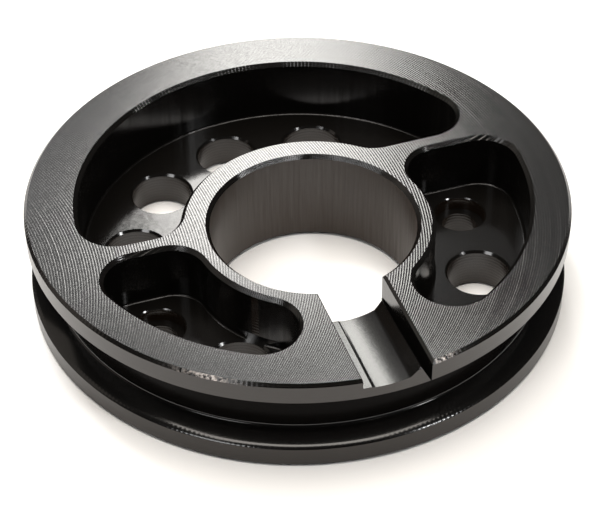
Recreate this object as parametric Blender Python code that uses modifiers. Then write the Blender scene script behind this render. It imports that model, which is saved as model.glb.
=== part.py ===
"""Grooved drum of a small sailboat winch: one round plate, turned and milled from a single bar.

The drum lies flat with its rope groove around the rim. Its shaft bore is off centre, three
pockets lighten it and leave a hub ring and three spokes, and a sloping slot leads the rope's
end from the bore out to the rim. Holes in the pocket floors take the screws.

Frame: +Z is the drum's axis, the origin is the centre of the rim on the lower face.
"""

import bmesh
import bpy
from math import atan2, cos, hypot, pi, radians, sin, sqrt

MM = 0.001
CUT = 1.0 * MM  # how far a cutter runs past the surface that it opens

# ---- driving dimensions, metres and degrees ----
OUTER_RADIUS = 31.0 * MM
HEIGHT = 12.0 * MM
RIM_CHAMFER = 0.35 * MM
EDGE_CHAMFER = 0.45 * MM  # the bore's and the pockets' edges

GROOVE_RADIUS = 28.45 * MM  # at its root
GROOVE_MOUTH = 7.0 * MM
GROOVE_ROOT = 5.0 * MM
GROOVE_LIP = 0.42 * MM  # chamfer on the two flanges' inner edges

BORE_RADIUS = 11.6 * MM
BORE_OFFSET = 5.45 * MM  # from the rim's centre to the bore's
SLOT_DIRECTION = -71.3  # the bore is moved this way too

# Each pocket lies between an arc about the rim's centre and an arc about the bore's centre. Two
# straight walls close it, each given by the angle that it faces and its distance along that
# angle from the rim's centre.
POCKETS = {
    "long": {
        "outer": 25.0 * MM, "hub": 14.85 * MM, "floor": 4.25 * MM, "corner": 4.2 * MM,
        "start": (109.3, 4.65 * MM), "end": (107.2, -2.67 * MM),
    },
    "right": {
        "outer": 26.4 * MM, "hub": 13.7 * MM, "floor": 5.0 * MM, "corner": 4.0 * MM,
        "start": (64.0, -10.12 * MM), "end": (-71.4, -2.62 * MM),
    },
    "left": {
        "outer": 26.35 * MM, "hub": 13.7 * MM, "floor": 5.0 * MM, "corner": 3.9 * MM,
        "start": (-71.7, 4.57 * MM), "end": (-204.6, -9.56 * MM),
    },
}

HOLE_RADIUS = 3.55 * MM
HOLE_CHAMFER = 0.25 * MM
HOLE_CIRCLE = 18.8 * MM  # four holes of the long pocket, about the rim's centre
HOLE_START = 84.8
HOLE_PITCH = 32.8
SIDE_HOLES = ((21.4 * MM, -16.8), (21.6 * MM, -107.3))  # one in each short pocket

SCREW_RADIUS = 2.05 * MM
SCREW_HEAD_RADIUS = 3.0 * MM
SCREW_HEAD_DEPTH = 1.7 * MM
SCREW_CIRCLE = 19.7 * MM  # about the bore's centre
SCREW_ANGLES = (28.2, 209.6)

SLOT_WIDTH = 7.6 * MM
SLOT_SIDE_STEP = 0.28 * MM  # the slot's middle lies this far to the left of its radial line
SLOT_DEPTH_INNER = 4.8 * MM  # where the floor leaves the bore
SLOT_DEPTH_OUTER = 1.2 * MM  # where it runs out at the rim

RIM_STEPS = 120
BORE_STEPS = 80
HOLE_STEPS = 32
CORNER_STEPS = 12
ARC_STEPS = 32

BLACK_ALUMINIUM = (0.022, 0.021, 0.020, 1.0)


# ---- scene helpers ----
def clear_scene():
    for obj in list(bpy.data.objects):
        bpy.data.objects.remove(obj, do_unlink=True)


def new_collection(name):
    collection = bpy.data.collections.new(name)
    bpy.context.scene.collection.children.link(collection)
    return collection


def new_object(name, mesh, collection):
    obj = bpy.data.objects.new(name, mesh)
    collection.objects.link(obj)
    return obj


def anodised_aluminium():
    material = bpy.data.materials.new("black_anodised_aluminium")
    material.use_nodes = True
    shader = material.node_tree.nodes["Principled BSDF"]
    shader.inputs["Base Color"].default_value = BLACK_ALUMINIUM
    shader.inputs["Roughness"].default_value = 0.35
    shader.inputs["Metallic"].default_value = 0.6
    return material


def at_angle(radius, degrees, centre=(0.0, 0.0)):
    a = radians(degrees)
    return centre[0] + radius * cos(a), centre[1] + radius * sin(a)


BORE_CENTRE = at_angle(BORE_OFFSET, SLOT_DIRECTION)


# ---- solids ----
def turned(name, profile, collection, steps, centre=(0.0, 0.0)):
    """A profile of (radius, z) points from top to bottom, turned about a vertical axis."""
    mesh = bpy.data.meshes.new(name)
    points = [(radius, 0.0, z) for radius, z in profile]
    edges = [(i, i + 1) for i in range(len(points) - 1)]
    mesh.from_pydata(points, edges, [])
    obj = new_object(name, mesh, collection)
    obj.location = (centre[0], centre[1], 0.0)
    screw = obj.modifiers.new("turn", "SCREW")
    screw.axis = "Z"
    screw.steps = steps
    screw.render_steps = steps
    screw.use_merge_vertices = True
    screw.merge_threshold = 0.00001
    return obj


def loft(name, rings, collection):
    """A closed solid through rings of points: quads between neighbours, a face on each end."""
    bm = bmesh.new()
    rows = [[bm.verts.new(point) for point in ring] for ring in rings]
    count = len(rows[0])
    for lower, upper in zip(rows, rows[1:]):
        for i in range(count):
            j = (i + 1) % count
            bm.faces.new((lower[i], lower[j], upper[j], upper[i]))
    bm.faces.new(rows[0])
    bm.faces.new(rows[-1])
    bmesh.ops.recalc_face_normals(bm, faces=bm.faces)
    mesh = bpy.data.meshes.new(name)
    bm.to_mesh(mesh)
    bm.free()
    return new_object(name, mesh, collection)


# ---- the pocket's outline ----
def corner_centre(circle, radius, wall, corner, side):
    """Centre of the corner arc at `radius` about `circle` that touches a straight wall."""
    angle, distance = radians(wall[0]), wall[1] + corner
    nx, ny = cos(angle), sin(angle)
    along = distance - (nx * circle[0] + ny * circle[1])
    across = side * sqrt(radius * radius - along * along)
    return circle[0] + nx * along - ny * across, circle[1] + ny * along + nx * across


def sweep(centre, radius, start, end, turn, steps=CORNER_STEPS):
    """Points of an arc from one angle to another, turning +1 anticlockwise or -1 clockwise."""
    while turn * (end - start) < 0.0:
        end += turn * 2.0 * pi
    while turn * (end - start) > 2.0 * pi:
        end -= turn * 2.0 * pi
    angles = [start + (end - start) * i / steps for i in range(steps + 1)]
    return [(centre[0] + radius * cos(a), centre[1] + radius * sin(a)) for a in angles]


def direction(origin, point):
    return atan2(point[1] - origin[1], point[0] - origin[0])


def pocket_outline(pocket, grow):
    """The pocket's outline, moved outwards all round by `grow`; the number of points is fixed."""
    rim, bore = (0.0, 0.0), BORE_CENTRE
    corner = pocket["corner"] + grow
    outer, hub = pocket["outer"] + grow, pocket["hub"] - grow
    start = (pocket["start"][0], pocket["start"][1] - grow)
    end = (pocket["end"][0], pocket["end"][1] - grow)
    start_out = corner_centre(rim, outer - corner, start, corner, -1)
    end_out = corner_centre(rim, outer - corner, end, corner, 1)
    start_in = corner_centre(bore, hub + corner, start, corner, -1)
    end_in = corner_centre(bore, hub + corner, end, corner, 1)
    facing_start = radians(start[0]) + pi
    facing_end = radians(end[0]) + pi
    points = sweep(start_out, corner, facing_start, direction(rim, start_out), 1)
    rim_arc = direction(rim, start_out), direction(rim, end_out)
    points += sweep(rim, outer, *rim_arc, 1, ARC_STEPS)[1:]
    points += sweep(end_out, corner, direction(rim, end_out), facing_end, 1)[1:]
    points += sweep(end_in, corner, facing_end, direction(end_in, bore), 1)
    hub_arc = direction(bore, end_in), direction(bore, start_in)
    points += sweep(bore, hub, *hub_arc, -1, ARC_STEPS)[1:]
    points += sweep(start_in, corner, direction(start_in, bore), facing_start, 1)[1:]
    return points


# ---- the drum and what is cut from it ----
def blank(collection):
    middle = HEIGHT / 2.0
    mouth, root = GROOVE_MOUTH / 2.0, GROOVE_ROOT / 2.0
    lip_height = mouth - GROOVE_LIP
    profile = [
        (0.0, HEIGHT),
        (OUTER_RADIUS - RIM_CHAMFER, HEIGHT),
        (OUTER_RADIUS, HEIGHT - RIM_CHAMFER),
        (OUTER_RADIUS, middle + mouth),
        (OUTER_RADIUS - GROOVE_LIP, middle + lip_height),
        (GROOVE_RADIUS, middle + root),
        (GROOVE_RADIUS, middle - root),
        (OUTER_RADIUS - GROOVE_LIP, middle - lip_height),
        (OUTER_RADIUS, middle - mouth),
        (OUTER_RADIUS, RIM_CHAMFER),
        (OUTER_RADIUS - RIM_CHAMFER, 0.0),
        (0.0, 0.0),
    ]
    return turned("drum_body", profile, collection, RIM_STEPS)


def bore_cutter(collection):
    flare = BORE_RADIUS + EDGE_CHAMFER + CUT
    profile = [
        (0.0, HEIGHT + CUT),
        (flare, HEIGHT + CUT),
        (BORE_RADIUS, HEIGHT - EDGE_CHAMFER),
        (BORE_RADIUS, EDGE_CHAMFER),
        (flare, -CUT),
        (0.0, -CUT),
    ]
    return turned("cut_bore", profile, collection, BORE_STEPS, BORE_CENTRE)


def pocket_cutter(name, collection):
    pocket = POCKETS[name]
    levels = (
        (0.0, pocket["floor"]),
        (0.0, HEIGHT - EDGE_CHAMFER),
        (EDGE_CHAMFER + CUT, HEIGHT + CUT),
    )
    rings = [[(x, y, z) for x, y in pocket_outline(pocket, grow)] for grow, z in levels]
    return loft("cut_pocket_" + name, rings, collection)


def hole_cutter(name, place, floor, collection):
    flare = HOLE_RADIUS + HOLE_CHAMFER
    profile = [
        (0.0, floor + CUT),
        (flare + CUT, floor + CUT),
        (HOLE_RADIUS, floor - HOLE_CHAMFER),
        (HOLE_RADIUS, HOLE_CHAMFER),
        (flare + CUT, -CUT),
        (0.0, -CUT),
    ]
    return turned(name, profile, collection, HOLE_STEPS, place)


def screw_cutter(name, place, floor, collection):
    """A counterbored hole: the screw's head sinks into the pocket's floor."""
    seat = floor - SCREW_HEAD_DEPTH
    profile = [
        (0.0, floor + CUT),
        (SCREW_HEAD_RADIUS, floor + CUT),
        (SCREW_HEAD_RADIUS, seat),
        (SCREW_RADIUS, seat),
        (SCREW_RADIUS, -CUT),
        (0.0, -CUT),
    ]
    return turned(name, profile, collection, HOLE_STEPS, place)


def slot_section(along, points):
    """Points of (sideways, depth below the upper face) placed across the slot's direction."""
    a = radians(SLOT_DIRECTION)
    forward, side = (cos(a), sin(a)), (-sin(a), cos(a))
    return [
        (forward[0] * along + side[0] * s, forward[1] * along + side[1] * s, HEIGHT - depth)
        for s, depth in points
    ]


def slot_cutter(collection):
    """A sloping channel whose right foot swings in as it nears the rim and leaves a ridge there.

    Each point is given where the slot leaves the bore and where it reaches the rim, and the
    loft runs on past both along the same straight lines.
    """
    left = SLOT_SIDE_STEP - SLOT_WIDTH / 2.0
    right = SLOT_SIDE_STEP + SLOT_WIDTH / 2.0
    inner_at, outer_at = BORE_OFFSET + BORE_RADIUS, OUTER_RADIUS
    flare = RIM_CHAMFER + CUT
    inner = [
        (left - flare, -CUT),
        (left, RIM_CHAMFER),
        (left, SLOT_DEPTH_INNER),
        (3.15 * MM, SLOT_DEPTH_INNER),
        (right - 0.05 * MM, 3.7 * MM),
        (right, 3.65 * MM),
        (right, RIM_CHAMFER),
        (right + flare, -CUT),
    ]
    outer = [
        (left - flare, -CUT),
        (left, RIM_CHAMFER),
        (left, SLOT_DEPTH_OUTER),
        (1.75 * MM, SLOT_DEPTH_OUTER),
        (2.75 * MM, 0.05 * MM),
        (right, 2.7 * MM),
        (right, RIM_CHAMFER),
        (right + flare, -CUT),
    ]

    def section(along):
        t = (along - inner_at) / (outer_at - inner_at)
        blended = [(p[0] + (q[0] - p[0]) * t, p[1] + (q[1] - p[1]) * t)
                   for p, q in zip(inner, outer)]
        return slot_section(along, blended)

    stations = (BORE_OFFSET + BORE_RADIUS - 2.0 * MM, OUTER_RADIUS + 0.2 * MM)
    return loft("cut_slot", [section(along) for along in stations], collection)


def build():
    clear_scene()
    parts = new_collection("sailboat_winch_drum")
    cutters = new_collection("cutters")
    drum = blank(parts)
    drum.data.materials.append(anodised_aluminium())

    tools = [bore_cutter(cutters), slot_cutter(cutters)]
    tools += [pocket_cutter(name, cutters) for name in POCKETS]
    for i in range(4):
        place = at_angle(HOLE_CIRCLE, HOLE_START + HOLE_PITCH * i)
        tools.append(hole_cutter(f"cut_hole_{i + 1}", place, POCKETS["long"]["floor"], cutters))
    short_floor = POCKETS["right"]["floor"]
    for i, (radius, angle) in enumerate(SIDE_HOLES):
        place = at_angle(radius, angle)
        tools.append(hole_cutter(f"cut_side_hole_{i + 1}", place, short_floor, cutters))
    for i, angle in enumerate(SCREW_ANGLES):
        place = at_angle(SCREW_CIRCLE, angle, BORE_CENTRE)
        tools.append(screw_cutter(f"cut_screw_{i + 1}", place, short_floor, cutters))

    for tool in tools:
        tool.hide_render = True
        tool.display_type = "WIRE"
        cut = drum.modifiers.new(tool.name, "BOOLEAN")
        cut.operation = "DIFFERENCE"
        cut.solver = "EXACT"
        cut.object = tool


build()
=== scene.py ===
"""The looks of the grooved winch drum: a finer mesh of the milled part, its anodised finish,
a pale table and soft studio light."""

from math import atan2, cos, pi, radians, sin, sqrt, tan

import bmesh
import bpy
from mathutils import Matrix, Vector


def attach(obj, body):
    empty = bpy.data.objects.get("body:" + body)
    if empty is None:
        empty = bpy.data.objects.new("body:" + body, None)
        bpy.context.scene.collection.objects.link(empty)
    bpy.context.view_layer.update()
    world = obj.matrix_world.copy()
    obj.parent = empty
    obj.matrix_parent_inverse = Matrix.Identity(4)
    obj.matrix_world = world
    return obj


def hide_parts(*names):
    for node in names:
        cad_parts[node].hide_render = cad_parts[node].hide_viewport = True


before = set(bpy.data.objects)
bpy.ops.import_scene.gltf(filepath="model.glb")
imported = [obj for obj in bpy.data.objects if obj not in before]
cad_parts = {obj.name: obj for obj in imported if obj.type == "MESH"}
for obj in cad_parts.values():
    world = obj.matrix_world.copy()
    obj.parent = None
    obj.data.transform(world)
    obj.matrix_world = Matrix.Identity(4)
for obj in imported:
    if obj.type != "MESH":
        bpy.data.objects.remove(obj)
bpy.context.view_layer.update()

MM = 0.001
CUT = 1.0 * MM

# ---- the drum's dimensions, as the CAD has them ----
OUTER_RADIUS = 31.0 * MM
HEIGHT = 12.0 * MM
RIM_CHAMFER = 0.35 * MM
EDGE_CHAMFER = 0.45 * MM
GROOVE_RADIUS = 28.45 * MM
GROOVE_MOUTH = 7.0 * MM
GROOVE_ROOT = 5.0 * MM
GROOVE_LIP = 0.42 * MM
BORE_RADIUS = 11.6 * MM
BORE_OFFSET = 5.45 * MM
SLOT_DIRECTION = -71.3
POCKETS = {
    "long": {
        "outer": 25.0 * MM, "hub": 14.85 * MM, "floor": 4.25 * MM, "corner": 4.2 * MM,
        "start": (109.3, 4.65 * MM), "end": (107.2, -2.67 * MM),
    },
    "right": {
        "outer": 26.4 * MM, "hub": 13.7 * MM, "floor": 5.0 * MM, "corner": 4.0 * MM,
        "start": (64.0, -10.12 * MM), "end": (-71.4, -2.62 * MM),
    },
    "left": {
        "outer": 26.35 * MM, "hub": 13.7 * MM, "floor": 5.0 * MM, "corner": 3.9 * MM,
        "start": (-71.7, 4.57 * MM), "end": (-204.6, -9.56 * MM),
    },
}
HOLE_RADIUS = 3.55 * MM
HOLE_CHAMFER = 0.25 * MM
HOLE_CIRCLE = 18.8 * MM
HOLE_START = 84.8
HOLE_PITCH = 32.8
SIDE_HOLES = ((21.4 * MM, -16.8), (21.6 * MM, -107.3))
SCREW_RADIUS = 2.05 * MM
SCREW_HEAD_RADIUS = 3.0 * MM
SCREW_HEAD_DEPTH = 1.7 * MM
SCREW_CIRCLE = 19.7 * MM
SCREW_ANGLES = (28.2, 209.6)
SLOT_WIDTH = 7.6 * MM
SLOT_SIDE_STEP = 0.28 * MM
# The slot where it leaves the bore and where it reaches the rim. Across it from the left come a
# step, the sloping floor, a rise up to a ridge, and a gap down to the foot of the right wall.
# Pairs are (start, end) for the floor and (sideways, depth) for the rest.
SLOT_ENDS = (
    {
        "along": BORE_OFFSET + BORE_RADIUS, "depth": 4.8 * MM, "step": -1.25 * MM,
        "floor": (-1.1 * MM, 3.05 * MM), "rise": (3.2 * MM, 4.53 * MM),
        "ridge": (4.03 * MM, 3.7 * MM), "gap": 3.65 * MM,
    },
    {
        "along": OUTER_RADIUS, "depth": 1.2 * MM, "step": -2.6 * MM,
        "floor": (-2.45 * MM, 1.6 * MM), "rise": (1.85 * MM, 0.86 * MM),
        "ridge": (2.75 * MM, 0.05 * MM), "gap": 2.7 * MM,
    },
)

# ---- finer details that only the looks have ----
FLOOR_FILLET = 0.3 * MM
FILLET_STEPS = 4
GROOVE_FILLET = 0.35 * MM
GROOVE_FILLET_STEPS = 6
SCREW_EDGE = 0.12 * MM
SLOT_EDGE = 0.12 * MM
SLOT_RIGHT_EDGE = 0.3 * MM
SLOT_STEP = 0.1 * MM
SLOT_HOLLOW = 0.5 * MM
SLOT_HOLLOW_STEPS = 16
SLOT_HOLLOW_DEEPEST = 0.35
SLOT_HOLLOW_LEVEL = 0.12
SLOT_PAST_BORE = 2.0 * MM
SLOT_PAST_RIM = 0.2 * MM
RIM_STEPS = 360
BORE_STEPS = 240
HOLE_STEPS = 80
CORNER_STEPS = 36
ARC_STEPS = 100


def at_angle(radius, degrees, centre=(0.0, 0.0)):
    a = radians(degrees)
    return centre[0] + radius * cos(a), centre[1] + radius * sin(a)


BORE_CENTRE = at_angle(BORE_OFFSET, SLOT_DIRECTION)
LONG_HOLE_PLACES = [at_angle(HOLE_CIRCLE, HOLE_START + HOLE_PITCH * i) for i in range(4)]
SIDE_HOLE_PLACES = [at_angle(radius, angle) for radius, angle in SIDE_HOLES]
SCREW_PLACES = [at_angle(SCREW_CIRCLE, angle, BORE_CENTRE) for angle in SCREW_ANGLES]


def link(name, mesh):
    obj = bpy.data.objects.new(name, mesh)
    bpy.context.scene.collection.objects.link(obj)
    return obj


# ---- solids ----
def turned(name, profile, steps, centre=(0.0, 0.0)):
    """A profile of (radius, z) points from top to bottom, turned about a vertical axis."""
    mesh = bpy.data.meshes.new(name)
    points = [(radius, 0.0, z) for radius, z in profile]
    mesh.from_pydata(points, [(i, i + 1) for i in range(len(points) - 1)], [])
    obj = link(name, mesh)
    obj.location = (centre[0], centre[1], 0.0)
    screw = obj.modifiers.new("turn", "SCREW")
    screw.axis = "Z"
    screw.steps = steps
    screw.render_steps = steps
    screw.use_merge_vertices = True
    screw.merge_threshold = 0.00001
    return obj


def loft(name, rings):
    """A closed solid through rings of points."""
    bm = bmesh.new()
    rows = [[bm.verts.new(point) for point in ring] for ring in rings]
    count = len(rows[0])
    for lower, upper in zip(rows, rows[1:]):
        for i in range(count):
            j = (i + 1) % count
            bm.faces.new((lower[i], lower[j], upper[j], upper[i]))
    bm.faces.new(rows[0])
    bm.faces.new(rows[-1])
    bmesh.ops.recalc_face_normals(bm, faces=bm.faces)
    mesh = bpy.data.meshes.new(name)
    bm.to_mesh(mesh)
    bm.free()
    return link(name, mesh)


def corner_centre(circle, radius, wall, corner, side):
    """Centre of the corner arc at `radius` about `circle` that touches a straight wall."""
    angle, distance = radians(wall[0]), wall[1] + corner
    nx, ny = cos(angle), sin(angle)
    along = distance - (nx * circle[0] + ny * circle[1])
    across = side * sqrt(radius * radius - along * along)
    return circle[0] + nx * along - ny * across, circle[1] + ny * along + nx * across


def sweep(centre, radius, start, end, turn, steps=CORNER_STEPS):
    """Points of an arc from one angle to another, turning +1 anticlockwise or -1 clockwise."""
    while turn * (end - start) < 0.0:
        end += turn * 2.0 * pi
    while turn * (end - start) > 2.0 * pi:
        end -= turn * 2.0 * pi
    angles = [start + (end - start) * i / steps for i in range(steps + 1)]
    return [(centre[0] + radius * cos(a), centre[1] + radius * sin(a)) for a in angles]


def direction(origin, point):
    return atan2(point[1] - origin[1], point[0] - origin[0])


def pocket_outline(pocket, grow):
    """The pocket's outline, moved outwards all round by `grow`; the number of points is fixed."""
    rim, bore = (0.0, 0.0), BORE_CENTRE
    corner = pocket["corner"] + grow
    outer, hub = pocket["outer"] + grow, pocket["hub"] - grow
    start = (pocket["start"][0], pocket["start"][1] - grow)
    end = (pocket["end"][0], pocket["end"][1] - grow)
    start_out = corner_centre(rim, outer - corner, start, corner, -1)
    end_out = corner_centre(rim, outer - corner, end, corner, 1)
    start_in = corner_centre(bore, hub + corner, start, corner, -1)
    end_in = corner_centre(bore, hub + corner, end, corner, 1)
    facing_start = radians(start[0]) + pi
    facing_end = radians(end[0]) + pi
    points = sweep(start_out, corner, facing_start, direction(rim, start_out), 1)
    rim_arc = direction(rim, start_out), direction(rim, end_out)
    points += sweep(rim, outer, *rim_arc, 1, ARC_STEPS)[1:]
    points += sweep(end_out, corner, direction(rim, end_out), facing_end, 1)[1:]
    points += sweep(end_in, corner, facing_end, direction(end_in, bore), 1)
    hub_arc = direction(bore, end_in), direction(bore, start_in)
    points += sweep(bore, hub, *hub_arc, -1, ARC_STEPS)[1:]
    points += sweep(start_in, corner, direction(start_in, bore), facing_start, 1)[1:]
    return points


def blank():
    """The turned blank: chamfered rims and the rope groove, whose lower half mirrors the upper."""
    middle = HEIGHT / 2.0
    mouth, root = GROOVE_MOUTH / 2.0, GROOVE_ROOT / 2.0
    lip = (OUTER_RADIUS - GROOVE_LIP, mouth - GROOVE_LIP)
    # the root's corner is an arc that touches the root and the flank
    turn = atan2(lip[0] - GROOVE_RADIUS, lip[1] - root)
    centre = (GROOVE_RADIUS + GROOVE_FILLET, root - GROOVE_FILLET * tan(turn / 2.0))
    angles = [pi - turn * i / GROOVE_FILLET_STEPS for i in range(GROOVE_FILLET_STEPS + 1)]
    arc = [
        (centre[0] + GROOVE_FILLET * cos(a), centre[1] + GROOVE_FILLET * sin(a)) for a in angles
    ]
    upper = [
        (0.0, HEIGHT),
        (OUTER_RADIUS - RIM_CHAMFER, HEIGHT),
        (OUTER_RADIUS, HEIGHT - RIM_CHAMFER),
        (OUTER_RADIUS, middle + mouth),
        (lip[0], middle + lip[1]),
    ]
    upper += [(r, middle + z) for r, z in reversed(arc)]
    profile = upper + [(r, HEIGHT - z) for r, z in reversed(upper)]
    return turned("drum", profile, RIM_STEPS)


def bore_cutter():
    """The bore, flared at both ends for its chamfers."""
    flare = BORE_RADIUS + EDGE_CHAMFER + CUT
    profile = [
        (0.0, HEIGHT + CUT),
        (flare, HEIGHT + CUT),
        (BORE_RADIUS, HEIGHT - EDGE_CHAMFER),
        (BORE_RADIUS, EDGE_CHAMFER),
        (flare, -CUT),
        (0.0, -CUT),
    ]
    return turned("cut_bore", profile, BORE_STEPS, BORE_CENTRE)


def pocket_cutter(name):
    """A pocket, with a fillet around its floor and a chamfer around its mouth."""
    pocket = POCKETS[name]
    floor = pocket["floor"]
    levels = []
    for i in range(FILLET_STEPS + 1):
        a = pi / 2.0 * i / FILLET_STEPS
        levels.append((-FLOOR_FILLET * (1.0 - sin(a)), floor + FLOOR_FILLET * (1.0 - cos(a))))
    levels.append((0.0, HEIGHT - EDGE_CHAMFER))
    levels.append((EDGE_CHAMFER + CUT, HEIGHT + CUT))
    rings = [[(x, y, z) for x, y in pocket_outline(pocket, grow)] for grow, z in levels]
    return loft("cut_pocket_" + name, rings)


def hole_cutter(place, floor):
    """A plain hole through a pocket's floor."""
    flare = HOLE_RADIUS + HOLE_CHAMFER
    profile = [
        (0.0, floor + CUT),
        (flare + CUT, floor + CUT),
        (HOLE_RADIUS, floor - HOLE_CHAMFER),
        (HOLE_RADIUS, HOLE_CHAMFER),
        (flare + CUT, -CUT),
        (0.0, -CUT),
    ]
    return turned("cut_hole", profile, HOLE_STEPS, place)


def screw_cutter(place, floor):
    """A counterbored hole through a pocket's floor."""
    seat = floor - SCREW_HEAD_DEPTH
    profile = [
        (0.0, floor + CUT),
        (SCREW_HEAD_RADIUS + SCREW_EDGE + CUT, floor + CUT),
        (SCREW_HEAD_RADIUS, floor - SCREW_EDGE),
        (SCREW_HEAD_RADIUS, seat),
        (SCREW_RADIUS, seat),
        (SCREW_RADIUS, -CUT),
        (0.0, -CUT),
    ]
    return turned("cut_screw", profile, HOLE_STEPS, place)


def slot_floor(start, end, depth):
    """Points across the sloping floor, slightly hollow and steeper towards its right foot."""
    points = []
    for i in range(SLOT_HOLLOW_STEPS + 1):
        f = i / SLOT_HOLLOW_STEPS
        dip = SLOT_HOLLOW * (SLOT_HOLLOW_LEVEL - (f - SLOT_HOLLOW_DEEPEST) ** 2)
        points.append((start + (end - start) * f, depth + dip))
    return points


def slot_section(end):
    """The slot's cross-section at one end: (sideways, depth below the upper face)."""
    left = SLOT_SIDE_STEP - SLOT_WIDTH / 2.0
    right = SLOT_SIDE_STEP + SLOT_WIDTH / 2.0
    return [
        (left - SLOT_EDGE - CUT, -CUT),
        (left, SLOT_EDGE),
        (left, end["depth"] - SLOT_STEP),
        (end["step"], end["depth"] - SLOT_STEP),
        *slot_floor(*end["floor"], end["depth"]),
        end["rise"],
        end["ridge"],
        (right, end["gap"]),
        (right, SLOT_RIGHT_EDGE),
        (right + SLOT_RIGHT_EDGE + CUT, -CUT),
    ]


def slot_cutter():
    """A sloping channel from the bore to the rim, which runs on straight past both ends."""
    bore_end, rim_end = SLOT_ENDS
    sections = list(zip(slot_section(bore_end), slot_section(rim_end)))
    a = radians(SLOT_DIRECTION)
    rings = []
    for along in (bore_end["along"] - SLOT_PAST_BORE, rim_end["along"] + SLOT_PAST_RIM):
        t = (along - bore_end["along"]) / (rim_end["along"] - bore_end["along"])
        ring = []
        for p, q in sections:
            side, depth = p[0] + (q[0] - p[0]) * t, p[1] + (q[1] - p[1]) * t
            x, y = cos(a) * along - sin(a) * side, sin(a) * along + cos(a) * side
            ring.append((x, y, HEIGHT - depth))
        rings.append(ring)
    return loft("cut_slot", rings)


def cut_drum():
    """The finished solid as one mesh, its cutters gone."""
    drum = blank()
    tools = [bore_cutter(), slot_cutter()]
    tools += [pocket_cutter(name) for name in POCKETS]
    # the right and left pockets have one floor height
    tools += [hole_cutter(place, POCKETS["long"]["floor"]) for place in LONG_HOLE_PLACES]
    tools += [hole_cutter(place, POCKETS["right"]["floor"]) for place in SIDE_HOLE_PLACES]
    tools += [screw_cutter(place, POCKETS["right"]["floor"]) for place in SCREW_PLACES]
    for tool in tools:
        cut = drum.modifiers.new(tool.name, "BOOLEAN")
        cut.operation = "DIFFERENCE"
        cut.solver = "EXACT"
        cut.object = tool
    bpy.context.view_layer.update()
    graph = bpy.context.evaluated_depsgraph_get()
    mesh = bpy.data.meshes.new_from_object(drum.evaluated_get(graph))
    for obj in tools + [drum]:
        bpy.data.objects.remove(obj)
    mesh.name = "drum_finish"
    return mesh


# ---- which cut each face belongs to ----
TINY = 0.02 * MM
SLOT_START = 14.0 * MM
SLOT_MARGIN = 0.05 * MM
HUB_REACH = 15.5 * MM
GROOVE_REACH = GROOVE_RADIUS - 0.1 * MM
# how much of a face's normal points up: on a wall, a chamfer, a slope and a level face
UPRIGHT = 0.05
CHAMFERED = (0.5, 0.8)
SLOPING = 0.3
LEVEL = 0.9999


def hole_near(x, y):
    reach = HOLE_RADIUS + HOLE_CHAMFER + TINY
    places = LONG_HOLE_PLACES + SIDE_HOLE_PLACES + SCREW_PLACES
    return any((x - hx) ** 2 + (y - hy) ** 2 < reach * reach for hx, hy in places)


def surface_of(centre, normal):
    """The name of the cut that made a face, from the face's centre and normal."""
    x, y, z = centre
    a = radians(SLOT_DIRECTION)
    along, side = x * cos(a) + y * sin(a), -x * sin(a) + y * cos(a)
    radius = sqrt(x * x + y * y)
    bore = sqrt((x - BORE_CENTRE[0]) ** 2 + (y - BORE_CENTRE[1]) ** 2)
    from_middle = abs(z - HEIGHT / 2.0)
    upright = abs(normal[2]) < UPRIGHT
    at_rim = radius > OUTER_RADIUS - 2.0 * TINY
    in_rim = radius > GROOVE_REACH
    slot_half = SLOT_WIDTH / 2.0 + SLOT_RIGHT_EDGE + SLOT_MARGIN
    in_slot = along > SLOT_START and abs(side - SLOT_SIDE_STEP) < slot_half
    if abs(normal[2]) > LEVEL and (z > HEIGHT - TINY or z < TINY):
        return "milled_top"
    if at_rim and upright:
        return "turned_band"
    if in_rim and from_middle < GROOVE_MOUTH / 2.0 - GROOVE_LIP + TINY:
        return "groove_root" if upright else "turned_groove"
    if in_slot and z > HEIGHT / 2.0 and not at_rim and bore > BORE_RADIUS + TINY:
        leaning = CHAMFERED[0] < abs(normal[2]) < CHAMFERED[1]
        if z > HEIGHT - SLOT_RIGHT_EDGE - TINY and leaning:
            return "edge"
        return "slot_floor" if normal[2] > SLOPING else "slot_wall"
    if in_rim:
        return "rim_edge"
    if bore < BORE_RADIUS + TINY and upright:
        return "bore_wall"
    if z > HEIGHT - EDGE_CHAMFER - TINY or z < HOLE_CHAMFER + TINY and not hole_near(x, y):
        return "hub_edge" if bore < HUB_REACH else "outer_edge"
    if normal[2] > LEVEL:
        return "pocket_floor"
    if hole_near(x, y):
        return "hole_wall" if upright else "hole_edge"
    return "pocket_wall"


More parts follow.
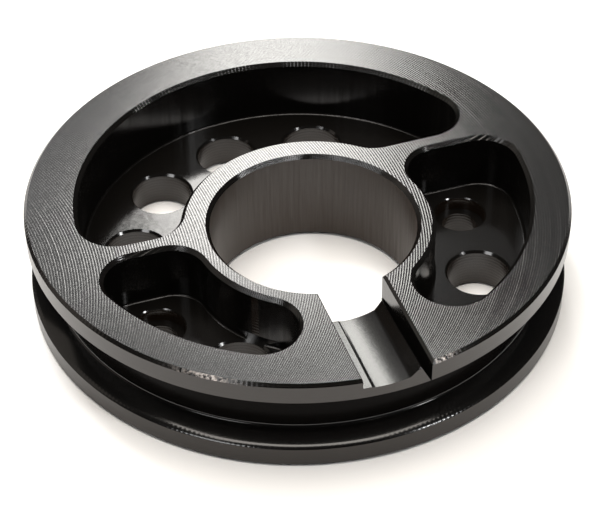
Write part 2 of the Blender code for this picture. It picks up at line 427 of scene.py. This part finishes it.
# ---- node helpers ----
class Graph:
    """A short way to write a material's nodes."""

    def __init__(self, name):
        self.material = bpy.data.materials.new(name)
        self.material.use_nodes = True
        self.nodes = self.material.node_tree.nodes
        self.links = self.material.node_tree.links
        self.shader = self.nodes["Principled BSDF"]

    def plug(self, value, socket):
        if isinstance(value, bpy.types.NodeSocket):
            self.links.new(value, socket)
        else:
            socket.default_value = value

    def math(self, operation, *values, clamp=False):
        node = self.nodes.new("ShaderNodeMath")
        node.operation = operation
        node.use_clamp = clamp
        for value, socket in zip(values, node.inputs):
            self.plug(value, socket)
        return node.outputs[0]

    def vector(self, operation, *values, scale=None):
        node = self.nodes.new("ShaderNodeVectorMath")
        node.operation = operation
        for value, socket in zip(values, node.inputs):
            self.plug(value, socket)
        if scale is not None:
            self.plug(scale, node.inputs["Scale"])
        return node.outputs["Value"] if operation in ("DOT_PRODUCT", "LENGTH") else node.outputs[0]

    def combine(self, x, y, z):
        node = self.nodes.new("ShaderNodeCombineXYZ")
        for value, socket in zip((x, y, z), node.inputs):
            self.plug(value, socket)
        return node.outputs[0]

    def split(self, vector):
        node = self.nodes.new("ShaderNodeSeparateXYZ")
        self.links.new(vector, node.inputs[0])
        return node.outputs

    def position(self):
        """The place on the drum, in millimetres."""
        node = self.nodes.new("ShaderNodeTexCoord")
        return self.vector("SCALE", node.outputs["Object"], scale=1000.0)

    def normal(self):
        return self.nodes.new("ShaderNodeNewGeometry").outputs["Normal"]

    def noise(self, vector, scale=1.0, detail=2.0, roughness=0.5):
        node = self.nodes.new("ShaderNodeTexNoise")
        self.plug(vector, node.inputs["Vector"])
        node.inputs["Scale"].default_value = scale
        node.inputs["Detail"].default_value = detail
        node.inputs["Roughness"].default_value = roughness
        return node.outputs["Fac"]

    def remap(self, value, low, high, to_low, to_high):
        node = self.nodes.new("ShaderNodeMapRange")
        self.plug(value, node.inputs["Value"])
        limits = {"From Min": low, "From Max": high, "To Min": to_low, "To Max": to_high}
        for key, limit in limits.items():
            self.plug(limit, node.inputs[key])
        return node.outputs["Result"]

    def mix_colour(self, share, first, second):
        node = self.nodes.new("ShaderNodeMix")
        node.data_type = "RGBA"
        self.plug(share, node.inputs["Factor"])
        self.plug(first, node.inputs["A"])
        self.plug(second, node.inputs["B"])
        return node.outputs["Result"]

    def tilt(self, slope):
        """Shade as if the surface leaned by this vector."""
        leaning = self.vector("NORMALIZE", self.vector("ADD", self.normal(), slope))
        self.links.new(leaning, self.shader.inputs["Normal"])

    def set(self, name, value):
        self.plug(value, self.shader.inputs[name])


# ---- finishes ----
# `roughness` is the shader's, and `slope` is how far the tool marks tilt the surface
IOR = 1.5
SHINE = 0.5
BLACK = (0.004, 0.0036, 0.0032, 1.0)
# painted reflection: the band's brown tint stands in for warm light that it reflects from the
# table
BAND_WARM_REFLECTION_TINT = (0.011, 0.0068, 0.004, 1.0)
# painted reflection: the bore's brown, lighter tint stands in for warm light that it reflects from
# the table
BORE_WARM_REFLECTION_TINT = (0.026, 0.015, 0.008, 1.0)
BROWN_HOLE = (0.014, 0.0085, 0.005, 1.0)
# uncoated metal, for the rim's worn spots and for the highlights painted there
BARE_METAL_AND_GLINT = (0.6, 0.54, 0.5, 1.0)
BARE_AND_GLINT_ROUGHNESS = 0.45
# how fast streaks change up a wall, as a share of how fast they change across it
STREAK_SHORTENING = 0.04
# far enough away for a second noise that has nothing to do with the first
ELSEWHERE = (31.7, 11.3, 5.1)
# the pitch, in millimetres, is that of a cut at this share of the outer radius
CHATTER_PITCH = 0.33
CHATTER_AT = 0.6
# the noise values between which a marked edge goes from skin to uncoated metal, and how far it
# goes; the marks are partly real wear and partly a painted highlight
WEAR_AND_GLINT_CHIPS = (0.42, 0.66)
WEAR_AND_GLINT_MOST = 0.85


def anodised(name, roughness, colour=BLACK):
    """The black skin that every finish starts from."""
    g = Graph(name)
    g.set("Base Color", colour)
    g.set("Roughness", roughness)
    g.set("IOR", IOR)
    return g


# the face mill: its radius, sideways offset and pitch in millimetres, and its feed direction
MILL_RADIUS = 40.3
MILL_FEED = 20.0
MILL_OFFSET = 1.2
MILL_PITCH = 0.31
RIDGE_SHARPNESS = 3.0
# the least and the most of each, as shares of the usual tilt and shine
RIDGE_STRENGTH = (0.5, 1.5)
RIDGE_SHINE = (0.32, 0.68)
GRAIN_SHINE = (0.85, 1.15)
GRAIN_SCALE = 3.2


def milled(name, roughness, slope):
    """Ridges that a face mill leaves: arcs of its radius, one pitch apart along the feed."""
    g = anodised(name, roughness)
    p = g.position()
    a = radians(MILL_FEED)
    forward, across = (cos(a), sin(a), 0.0), (-sin(a), cos(a), 0.0)
    # place on the arc, and how far along the feed the cutter's centre was
    q = g.math("SUBTRACT", g.vector("DOT_PRODUCT", p, across), MILL_OFFSET)
    depth = g.math("SQRT", g.math("SUBTRACT", MILL_RADIUS ** 2, g.math("MULTIPLY", q, q)))
    t = g.math("SUBTRACT", g.vector("DOT_PRODUCT", p, forward), depth)
    bend = g.vector("SCALE", across, scale=g.math("DIVIDE", q, depth))
    gradient = g.vector("ADD", forward, bend)
    # flat between narrow ridges, and no two ridges quite the same
    line = g.math("MULTIPLY", t, 2.0 * pi / MILL_PITCH)
    wave = g.math("POWER", g.math("SINE", line), RIDGE_SHARPNESS)
    uneven = g.noise(g.combine(g.math("DIVIDE", t, MILL_PITCH), 0.0, 0.0), 0.9, 2.0)
    strength = g.remap(uneven, 0.25, 0.75, *(share * slope for share in RIDGE_STRENGTH))
    lean = g.math("MULTIPLY", wave, strength)
    grain = g.noise(p, GRAIN_SCALE, 3.0, 0.7)
    lean = g.math("ADD", lean, g.math("MULTIPLY", g.math("SUBTRACT", grain, 0.5), slope))
    g.tilt(g.vector("SCALE", gradient, scale=lean))
    shine = g.remap(g.math("COSINE", line), -1.0, 1.0, *RIDGE_SHINE)
    patches = g.remap(grain, 0.3, 0.7, *GRAIN_SHINE)
    g.set("Specular IOR Level", g.math("MULTIPLY", shine, patches))
    return g.material


def turned_finish(name, roughness, slope, shine=SHINE, colour=BLACK):
    """Fine lines around the drum's axis."""
    g = anodised(name, roughness, colour)
    g.set("Specular IOR Level", shine)
    height = g.split(g.position())[2]
    line = g.noise(g.combine(0.0, 0.0, height), 9.0, 3.0, 0.7)
    lean = g.math("MULTIPLY", g.math("SUBTRACT", line, 0.5), slope)
    g.tilt(g.combine(0.0, 0.0, lean))
    return g.material


def upright_streaks(name, roughness, slope, scale, shine, colour=BLACK):
    """Fine lines up and down a wall, which tilt it sideways."""
    g = anodised(name, roughness, colour)
    x, y, z = g.split(g.position())
    place = g.combine(x, y, g.math("MULTIPLY", z, STREAK_SHORTENING))
    line = g.noise(place, scale, 3.0, 0.65)
    lean = g.math("MULTIPLY", g.math("SUBTRACT", line, 0.5), slope)
    sideways = g.vector("CROSS_PRODUCT", g.normal(), (0.0, 0.0, 1.0))
    g.tilt(g.vector("SCALE", sideways, scale=lean))
    g.set("Specular IOR Level", g.remap(line, 0.3, 0.7, *shine))
    return g.material


def ringed(name, roughness, slope, pitch, colour=BLACK):
    """Rings around a drilled wall."""
    g = anodised(name, roughness, colour)
    height = g.split(g.position())[2]
    wave = g.math("SINE", g.math("MULTIPLY", height, 2.0 * pi / pitch))
    g.tilt(g.combine(0.0, 0.0, g.math("MULTIPLY", wave, slope)))
    return g.material


def satin(name, roughness, slope, scale, shine=SHINE):
    """An even, slightly grainy finish."""
    g = anodised(name, roughness)
    g.set("Specular IOR Level", shine)
    p = g.position()
    a = g.noise(p, scale, 3.0, 0.6)
    b = g.noise(g.vector("ADD", p, ELSEWHERE), scale, 3.0, 0.6)
    lean_x = g.math("MULTIPLY", g.math("SUBTRACT", a, 0.5), slope)
    lean_y = g.math("MULTIPLY", g.math("SUBTRACT", b, 0.5), slope)
    g.tilt(g.combine(lean_x, lean_y, 0.0))
    return g.material


def chattered(name, roughness, slope, centre, worn_and_glinting=()):
    """An edge cut with a chattering tool: short flutes across it, which tilt it along its length.

    `worn_and_glinting` lists (direction in degrees, half width in degrees) where uncoated metal
    shows, partly real wear and partly a painted highlight on the edge.
    """
    g = anodised(name, roughness)
    p = g.position()
    x, y, z = g.split(g.vector("SUBTRACT", p, (centre[0] / MM, centre[1] / MM, 0.0)))
    angle = g.math("ARCTAN2", y, x)
    reach = g.vector("LENGTH", g.combine(x, y, 0.0))
    flutes = OUTER_RADIUS / MM * CHATTER_AT * 2.0 * pi / CHATTER_PITCH
    line = g.math("MULTIPLY", angle, flutes)
    wave = g.math("SINE", line)
    patchy = g.noise(p, 0.25, 2.0)
    fine = g.noise(p, 6.0, 3.0, 0.7)
    strength = g.remap(patchy, 0.35, 0.6, 0.4 * slope, slope)
    lean = g.math("MULTIPLY", wave, strength)
    lean = g.math("ADD", lean, g.math("MULTIPLY", g.math("SUBTRACT", fine, 0.5), 0.3 * slope))
    along = g.vector("SCALE", g.combine(g.math("MULTIPLY", y, -1.0), x, 0.0),
                     scale=g.math("DIVIDE", 1.0, reach))
    g.tilt(g.vector("SCALE", along, scale=lean))
    share = None
    for place, width in worn_and_glinting:
        away = g.math("DIVIDE", g.math("SUBTRACT", angle, radians(place)), radians(width))
        near = g.math("EXPONENT", g.math("MULTIPLY", g.math("MULTIPLY", away, away), -1.0))
        share = near if share is None else g.math("MAXIMUM", share, near)
    # the uncoated patches are partly real wear and partly a painted highlight
    if share is not None:
        glint_and_chip_noise = g.noise(p, 2.6, 3.0, 0.65)
        upper_half = g.math("GREATER_THAN", z, HEIGHT / MM / 2.0)
        share = g.math("MULTIPLY", share, upper_half)
        bare_and_glint = g.math("MULTIPLY", share, g.remap(glint_and_chip_noise, *WEAR_AND_GLINT_CHIPS, 0.0, WEAR_AND_GLINT_MOST), clamp=True)
        g.set("Base Color", g.mix_colour(bare_and_glint, BLACK, BARE_METAL_AND_GLINT))
        g.set("Metallic", bare_and_glint)
        g.set("Roughness", g.remap(bare_and_glint, 0.0, 1.0, roughness, BARE_AND_GLINT_ROUGHNESS))
    return g.material


# where the rim's edges show uncoated metal, partly real wear from handling and partly a painted
# highlight where the front lights glint: direction and half width, degrees
RIM_WEAR_AND_GLINTS = ((-61.0, 2.2), (-108.0, 4.5), (-71.0, 2.5))
SHARP_ANGLE = radians(30.0)


def build_drum():
    """The finished drum, with each face in the finish of the cut that made it."""
    mesh = cut_drum()
    drum_axis = (0.0, 0.0)
    finishes = [
        milled("milled_top", roughness=0.16, slope=0.055),
        turned_finish("turned_band", roughness=0.28, slope=0.3, colour=BAND_WARM_REFLECTION_TINT),
        turned_finish("turned_groove", roughness=0.11, slope=0.03),
        # painted shade: the groove's root gets almost no shine, so that the recess shows dark
        turned_finish("groove_root", roughness=0.2, slope=0.1, shine=0.04),
        # the rim's edge carries patches that are partly real wear and partly painted highlight
        chattered("rim_edge", roughness=0.16, slope=0.05, centre=drum_axis, worn_and_glinting=RIM_WEAR_AND_GLINTS),
        chattered("outer_edge", roughness=0.17, slope=0.24, centre=drum_axis),
        chattered("hub_edge", roughness=0.17, slope=0.24, centre=BORE_CENTRE),
        upright_streaks("pocket_wall", roughness=0.19, slope=0.14, scale=1.5, shine=(0.15, 0.42)),
        upright_streaks(
            "bore_wall", roughness=0.34, slope=0.3, scale=3.0, shine=(0.38, 0.56),
            colour=BORE_WARM_REFLECTION_TINT,
        ),
        ringed("hole_wall", roughness=0.26, slope=0.06, pitch=0.42, colour=BROWN_HOLE),
        satin("pocket_floor", roughness=0.12, slope=0.03, scale=2.0, shine=0.3),
        satin("slot_floor", roughness=0.19, slope=0.06, scale=5.0),
        satin("slot_wall", roughness=0.22, slope=0.1, scale=2.0),
        satin("edge", roughness=0.2, slope=0.1, scale=3.0),
        satin("hole_edge", roughness=0.12, slope=0.03, scale=3.0),
    ]
    mesh.materials.clear()
    for finish in finishes:
        mesh.materials.append(finish)
    names = [finish.name for finish in finishes]
    for face in mesh.polygons:
        face.material_index = names.index(surface_of(face.center, face.normal))
    mesh.shade_smooth()
    mesh.set_sharp_from_angle(angle=SHARP_ANGLE)
    drum = link("drum_finish", mesh)
    weighted = drum.modifiers.new("flat_faces_stay_flat", "WEIGHTED_NORMAL")
    weighted.keep_sharp = True
    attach(drum, "root")
    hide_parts("drum_body")
    return drum


# ---- the studio ----
CAMERA_ELEVATION = 41.281
CAMERA_ROLL = -0.443
CAMERA_DISTANCE = 6.9957 * OUTER_RADIUS
CAMERA_AIM = (0.0073 * OUTER_RADIUS, 0.0926 * OUTER_RADIUS, 0.0)
CAMERA_LENS = 109.18
CAMERA_SENSOR = 36.0
TABLE_RADIUS = 1.6
TABLE_STEPS = 96
TABLE_TONES = ((0.86, 0.86, 0.86, 1.0), (0.9, 0.9, 0.895, 1.0))


def build_camera():
    """A camera in front of the drum, looking down at it."""
    elevation, roll = radians(CAMERA_ELEVATION), radians(CAMERA_ROLL)
    back = Vector((0.0, -cos(elevation), sin(elevation)))
    right = Vector((1.0, 0.0, 0.0))
    up = back.cross(right)
    rolled_right = right * cos(roll) + up * sin(roll)
    rolled_up = up * cos(roll) - right * sin(roll)
    place = Vector(CAMERA_AIM) + back * CAMERA_DISTANCE
    data = bpy.data.cameras.new("camera")
    data.lens = CAMERA_LENS
    data.sensor_width = CAMERA_SENSOR
    data.clip_start = 0.005
    data.clip_end = 20.0
    camera = bpy.data.objects.new("camera", data)
    bpy.context.scene.collection.objects.link(camera)
    axes = Matrix((rolled_right, rolled_up, back)).transposed().to_4x4()
    camera.matrix_world = Matrix.Translation(place) @ axes
    bpy.context.scene.camera = camera


def build_floor():
    """A round pale table top."""
    bm = bmesh.new()
    bmesh.ops.create_circle(bm, cap_ends=True, segments=TABLE_STEPS, radius=TABLE_RADIUS)
    mesh = bpy.data.meshes.new("table_top")
    bm.to_mesh(mesh)
    bm.free()
    table = link("table_top", mesh)
    g = Graph("pale_table")
    p = g.position()
    tone = g.noise(p, 0.01, 2.0)
    g.set("Base Color", g.mix_colour(tone, *TABLE_TONES))
    g.set("Roughness", 0.7)
    g.set("Specular IOR Level", 0.2)
    mesh.materials.append(g.material)


LIGHT_DISTANCE = 1.2
WORLD_STRENGTH = 0.04


def soft_box(name, azimuth, elevation, width, height, brightness, colour=(1.0, 1.0, 1.0)):
    """A rectangular light that faces the drum.

    Azimuth 0 is +Y, behind the drum, and 90 is +X. Width and height are the angles that it
    fills as seen from the drum, and brightness is what a mirror there would show.
    """
    az, el = radians(azimuth), radians(elevation)
    place = Vector((sin(az) * cos(el), cos(az) * cos(el), sin(el))) * LIGHT_DISTANCE
    data = bpy.data.lights.new(name, "AREA")
    data.shape = "RECTANGLE"
    data.size = 2.0 * LIGHT_DISTANCE * tan(radians(width / 2.0))
    data.size_y = 2.0 * LIGHT_DISTANCE * tan(radians(height / 2.0))
    data.energy = brightness * pi * data.size * data.size_y
    data.color = colour
    light = bpy.data.objects.new(name, data)
    bpy.context.scene.collection.objects.link(light)
    light.location = place
    light.rotation_euler = place.to_track_quat("Z", "Y").to_euler()
    return light


def build_lights():
    """An overhead light, a tall strip behind the drum and small lights around it."""
    world = bpy.data.worlds.new("studio")
    world.use_nodes = True
    background = world.node_tree.nodes["Background"]
    background.inputs["Color"].default_value = (1.0, 1.0, 1.0, 1.0)
    background.inputs["Strength"].default_value = WORLD_STRENGTH
    bpy.context.scene.world = world
    soft_box("overhead", 0.0, 88.0, 44.0, 44.0, 6.6, (1.0, 0.94, 0.87))
    soft_box("back_low", -0.5, 17.0, 6.5, 15.0, 9.0, (1.0, 0.99, 0.94))
    soft_box("back_middle", -0.3, 30.5, 6.5, 12.0, 10.5, (1.0, 0.99, 0.95))
    soft_box("back_high", -1.8, 39.8, 8.5, 6.6, 21.0, (1.0, 0.98, 0.94))
    soft_box("back_upper", 1.0, 49.0, 8.0, 11.0, 2.4)
    soft_box("back_left", -16.0, 34.0, 12.0, 22.0, 1.5)
    soft_box("back_right", 15.0, 36.0, 12.0, 22.0, 0.25)
    soft_box("key", -26.0, 58.0, 13.0, 13.0, 38.0)
    soft_box("front_right", 122.0, 42.0, 6.0, 6.0, 46.0)
    soft_box("front_left", 217.0, 46.0, 18.0, 7.0, 9.0)
    soft_box("left", -75.0, 30.0, 40.0, 36.0, 0.5, (1.0, 0.9, 0.8))


build_drum()
build_camera()
build_floor()
build_lights()
bpy.context.scene.view_settings.view_transform = "Standard"
